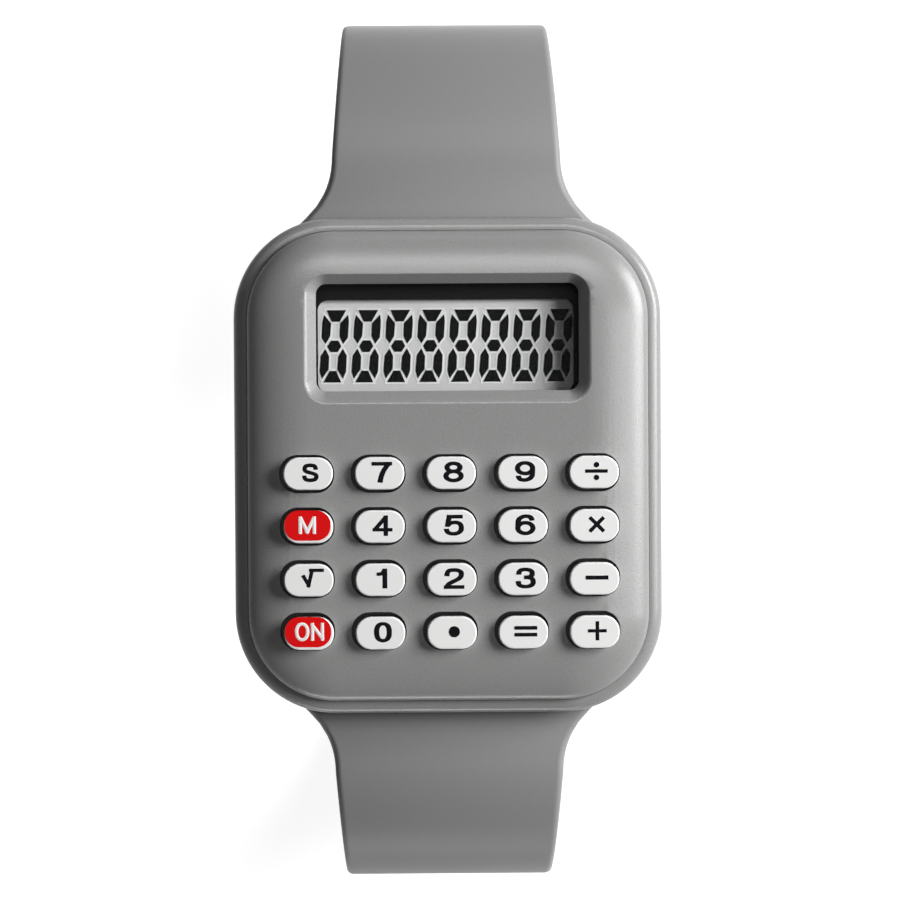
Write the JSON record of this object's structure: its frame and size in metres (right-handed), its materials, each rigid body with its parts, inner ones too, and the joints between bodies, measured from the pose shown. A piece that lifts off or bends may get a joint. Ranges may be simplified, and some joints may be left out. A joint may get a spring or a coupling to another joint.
{
  "type": "calculator watch",
  "caption": "Square rounded watch with a digital calculator display, a keypad and a curved buckle strap.",
  "frame": {"origin": "centre of the case's back face, which lies on the wrist", "axes": "+X from 9 to 3 o'clock, +Y towards 12 o'clock, +Z out of the display"},
  "size_m": [0.04, 0.0822, 0.0594],
  "materials": {
    "case_plastic": "matt, fine spark-eroded grain",
    "strap_rubber": "matt silicone rubber",
    "key_plastic": "satin, with printed legends",
    "lens_plastic": "clear, polished",
    "cell_glass": "clear, over a light film",
    "film": "light, matt",
    "black_plastic": "matt black",
    "segment_ink": "dark liquid crystal",
    "contact_rubber": "matt",
    "mat_rubber": "matt, dark grey",
    "board": "solder mask",
    "resin": "glossy resin drop",
    "component": "fired ceramic",
    "steel": "bright, finely brushed",
    "spring_metal": "nickel-plated spring strip"
  },
  "bodies": {
    "case": {"case_frame": "case_plastic", "front_cover": "case_plastic", "display_lens": "lens_plastic", "display_holder": "black_plastic", "display_cell": "cell_glass", "display_reflector": "film", "connector_strips": "contact_rubber", "display_segments": "segment_ink", "keypad_mat": "mat_rubber", "circuit_board": "board", "chip_resin": "resin", "quartz_crystal": "steel", "board_components": "component", "back_shell": "case_plastic", "battery": "steel", "battery_door": "case_plastic", "battery_contact_inner": "spring_metal", "battery_contact_edge": "spring_metal", "case_screws": "steel", "battery_door_screw": "steel", "strap_pin_top": "steel", "strap_pin_bottom": "steel"},
    "strap_buckle_side": {"strap_buckle_side": "strap_rubber"},
    "strap_hole_side": {"strap_hole_side": "strap_rubber"},
    "keeper": {"strap_keeper": "strap_rubber"},
    "buckle": {"buckle_frame": "steel", "buckle_pin": "steel"},
    "tongue": {"buckle_tongue": "steel"},
    "key_row1_column1": {"key_row1_column1": "key_plastic"},
    "key_row1_column2": {"key_row1_column2": "key_plastic"},
    "key_row1_column3": {"key_row1_column3": "key_plastic"},
    "key_row1_column4": {"key_row1_column4": "key_plastic"},
    "key_row1_column5": {"key_row1_column5": "key_plastic"},
    "key_row2_column1": {"key_row2_column1": "key_plastic"},
    "key_row2_column2": {"key_row2_column2": "key_plastic"},
    "key_row2_column3": {"key_row2_column3": "key_plastic"},
    "key_row2_column4": {"key_row2_column4": "key_plastic"},
    "key_row2_column5": {"key_row2_column5": "key_plastic"},
    "key_row3_column1": {"key_row3_column1": "key_plastic"},
    "key_row3_column2": {"key_row3_column2": "key_plastic"},
    "key_row3_column3": {"key_row3_column3": "key_plastic"},
    "key_row3_column4": {"key_row3_column4": "key_plastic"},
    "key_row3_column5": {"key_row3_column5": "key_plastic"},
    "key_row4_column1": {"key_row4_column1": "key_plastic"},
    "key_row4_column2": {"key_row4_column2": "key_plastic"},
    "key_row4_column3": {"key_row4_column3": "key_plastic"},
    "key_row4_column4": {"key_row4_column4": "key_plastic"},
    "key_row4_column5": {"key_row4_column5": "key_plastic"}
  },
  "joints": [
    {"name": "strap_buckle_side_hinge", "type": "hinge", "parent": "case", "child": "strap_buckle_side", "pos_m": [0, 0.0233, 0.0047], "axis": [1, 0, 0], "range_deg": [0, 28]},
    {"name": "strap_hole_side_hinge", "type": "hinge", "parent": "case", "child": "strap_hole_side", "pos_m": [0, -0.0233, 0.0047], "axis": [-1, 0, 0], "range_deg": [0, 28]},
    {"name": "keeper_slide", "type": "slide", "parent": "strap_buckle_side", "child": "keeper", "axis": [0, 1, 0], "range_m": [0, 0.004]},
    {"name": "buckle_swing", "type": "hinge", "parent": "strap_buckle_side", "child": "buckle", "pos_m": [0, 0.009, -0.0308], "axis": [1, 0, 0], "range_deg": [-35, 35]},
    {"name": "tongue_swing", "type": "hinge", "parent": "buckle", "child": "tongue", "pos_m": [0, 0.009, -0.0308], "axis": [1, 0, 0], "range_deg": [0, 75]},
    {"name": "key_row1_column1_press", "type": "slide", "parent": "case", "child": "key_row1_column1", "axis": [0, 0, -1], "range_m": [0, 0.0006], "stiffness_N_per_m": 1500, "deforming": ["keypad_mat"]},
    {"name": "key_row1_column2_press", "type": "slide", "parent": "case", "child": "key_row1_column2", "axis": [0, 0, -1], "range_m": [0, 0.0006], "stiffness_N_per_m": 1500, "deforming": ["keypad_mat"]},
    {"name": "key_row1_column3_press", "type": "slide", "parent": "case", "child": "key_row1_column3", "axis": [0, 0, -1], "range_m": [0, 0.0006], "stiffness_N_per_m": 1500, "deforming": ["keypad_mat"]},
    {"name": "key_row1_column4_press", "type": "slide", "parent": "case", "child": "key_row1_column4", "axis": [0, 0, -1], "range_m": [0, 0.0006], "stiffness_N_per_m": 1500, "deforming": ["keypad_mat"]},
    {"name": "key_row1_column5_press", "type": "slide", "parent": "case", "child": "key_row1_column5", "axis": [0, 0, -1], "range_m": [0, 0.0006], "stiffness_N_per_m": 1500, "deforming": ["keypad_mat"]},
    {"name": "key_row2_column1_press", "type": "slide", "parent": "case", "child": "key_row2_column1", "axis": [0, 0, -1], "range_m": [0, 0.0006], "stiffness_N_per_m": 1500, "deforming": ["keypad_mat"]},
    {"name": "key_row2_column2_press", "type": "slide", "parent": "case", "child": "key_row2_column2", "axis": [0, 0, -1], "range_m": [0, 0.0006], "stiffness_N_per_m": 1500, "deforming": ["keypad_mat"]},
    {"name": "key_row2_column3_press", "type": "slide", "parent": "case", "child": "key_row2_column3", "axis": [0, 0, -1], "range_m": [0, 0.0006], "stiffness_N_per_m": 1500, "deforming": ["keypad_mat"]},
    {"name": "key_row2_column4_press", "type": "slide", "parent": "case", "child": "key_row2_column4", "axis": [0, 0, -1], "range_m": [0, 0.0006], "stiffness_N_per_m": 1500, "deforming": ["keypad_mat"]},
    {"name": "key_row2_column5_press", "type": "slide", "parent": "case", "child": "key_row2_column5", "axis": [0, 0, -1], "range_m": [0, 0.0006], "stiffness_N_per_m": 1500, "deforming": ["keypad_mat"]},
    {"name": "key_row3_column1_press", "type": "slide", "parent": "case", "child": "key_row3_column1", "axis": [0, 0, -1], "range_m": [0, 0.0006], "stiffness_N_per_m": 1500, "deforming": ["keypad_mat"]},
    {"name": "key_row3_column2_press", "type": "slide", "parent": "case", "child": "key_row3_column2", "axis": [0, 0, -1], "range_m": [0, 0.0006], "stiffness_N_per_m": 1500, "deforming": ["keypad_mat"]},
    {"name": "key_row3_column3_press", "type": "slide", "parent": "case", "child": "key_row3_column3", "axis": [0, 0, -1], "range_m": [0, 0.0006], "stiffness_N_per_m": 1500, "deforming": ["keypad_mat"]},
    {"name": "key_row3_column4_press", "type": "slide", "parent": "case", "child": "key_row3_column4", "axis": [0, 0, -1], "range_m": [0, 0.0006], "stiffness_N_per_m": 1500, "deforming": ["keypad_mat"]},
    {"name": "key_row3_column5_press", "type": "slide", "parent": "case", "child": "key_row3_column5", "axis": [0, 0, -1], "range_m": [0, 0.0006], "stiffness_N_per_m": 1500, "deforming": ["keypad_mat"]},
    {"name": "key_row4_column1_press", "type": "slide", "parent": "case", "child": "key_row4_column1", "axis": [0, 0, -1], "range_m": [0, 0.0006], "stiffness_N_per_m": 1500, "deforming": ["keypad_mat"]},
    {"name": "key_row4_column2_press", "type": "slide", "parent": "case", "child": "key_row4_column2", "axis": [0, 0, -1], "range_m": [0, 0.0006], "stiffness_N_per_m": 1500, "deforming": ["keypad_mat"]},
    {"name": "key_row4_column3_press", "type": "slide", "parent": "case", "child": "key_row4_column3", "axis": [0, 0, -1], "range_m": [0, 0.0006], "stiffness_N_per_m": 1500, "deforming": ["keypad_mat"]},
    {"name": "key_row4_column4_press", "type": "slide", "parent": "case", "child": "key_row4_column4", "axis": [0, 0, -1], "range_m": [0, 0.0006], "stiffness_N_per_m": 1500, "deforming": ["keypad_mat"]},
    {"name": "key_row4_column5_press", "type": "slide", "parent": "case", "child": "key_row4_column5", "axis": [0, 0, -1], "range_m": [0, 0.0006], "stiffness_N_per_m": 1500, "deforming": ["keypad_mat"]}
  ]
}
